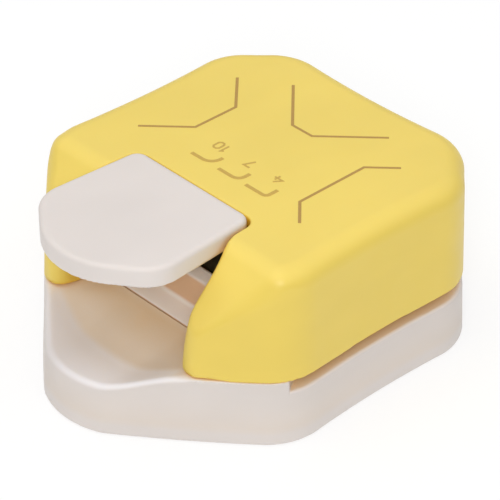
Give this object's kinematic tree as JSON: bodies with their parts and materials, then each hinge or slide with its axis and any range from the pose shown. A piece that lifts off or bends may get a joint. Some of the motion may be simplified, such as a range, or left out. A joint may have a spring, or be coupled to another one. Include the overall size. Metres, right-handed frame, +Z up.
{
  "type": "three-way corner rounder",
  "caption": "Desk punch that rounds paper corners at three radii: moulded base and cover, thumb lever, shaped steel punches, and a hinged chip lid underneath.",
  "frame": {"origin": "middle of the footprint, on the surface that the punch stands on", "axes": "+Z up, -Y towards the thumb lever, +X to the right of someone facing the back with the lever nearest them"},
  "size_m": [0.0642, 0.0768, 0.0351],
  "materials": {
    "cover_yellow": "satin moulded yellow plastic",
    "base_white": "satin moulded off-white plastic",
    "lever_white": "fine matt off-white plastic",
    "frame_white": "moulded off-white plastic",
    "bright_steel": "ground steel",
    "dark_steel": "black oxide",
    "spring_steel": "bright drawn wire",
    "screw_steel": "zinc plated"
  },
  "bodies": {
    "housing": {"top_cover": "cover_yellow", "base_housing": "base_white", "inner_frame": "frame_white", "paper_fence": "frame_white", "die_plate": "bright_steel", "guide_plate": "dark_steel", "guide_post_front": "bright_steel", "guide_post_left": "bright_steel", "guide_post_right": "bright_steel", "return_spring_front": "spring_steel", "return_spring_left": "spring_steel", "return_spring_right": "spring_steel", "cover_screw_front_left": "screw_steel", "cover_screw_front_right": "screw_steel", "cover_screw_back_left": "screw_steel", "cover_screw_back_right": "screw_steel", "guide_screw_left": "screw_steel", "guide_screw_right": "screw_steel", "lever_pin": "bright_steel", "lid_pin": "bright_steel"},
    "lever_arm": {"lever": "lever_white"},
    "punch_block": {"punch_carrier": "dark_steel", "punch_r10": "bright_steel", "punch_r7": "bright_steel", "punch_r4": "bright_steel"},
    "chip_lid": {"bottom_lid": "base_white"}
  },
  "joints": [
    {"name": "lever_hinge", "type": "hinge", "parent": "housing", "child": "lever_arm", "pos_m": [0, 0.0297, 0.0275], "axis": [1, 0, 0], "range_deg": [0, 12], "stiffness_Nm_per_rad": 1.5, "springref_deg": -8.02},
    {"name": "punch_slide", "type": "slide", "parent": "housing", "child": "punch_block", "axis": [0, 0, -1], "range_m": [0, 0.0044], "deforming": ["return_spring_front", "return_spring_left", "return_spring_right"]},
    {"name": "lid_hinge", "type": "hinge", "parent": "housing", "child": "chip_lid", "pos_m": [0, 0.0327, 0.0023], "axis": [1, 0, 0], "range_deg": [0, 90]}
  ],
  "couplings": [
    {"joint": "punch_slide", "follows": "lever_hinge", "m_per_rad": 0.021}
  ]
}
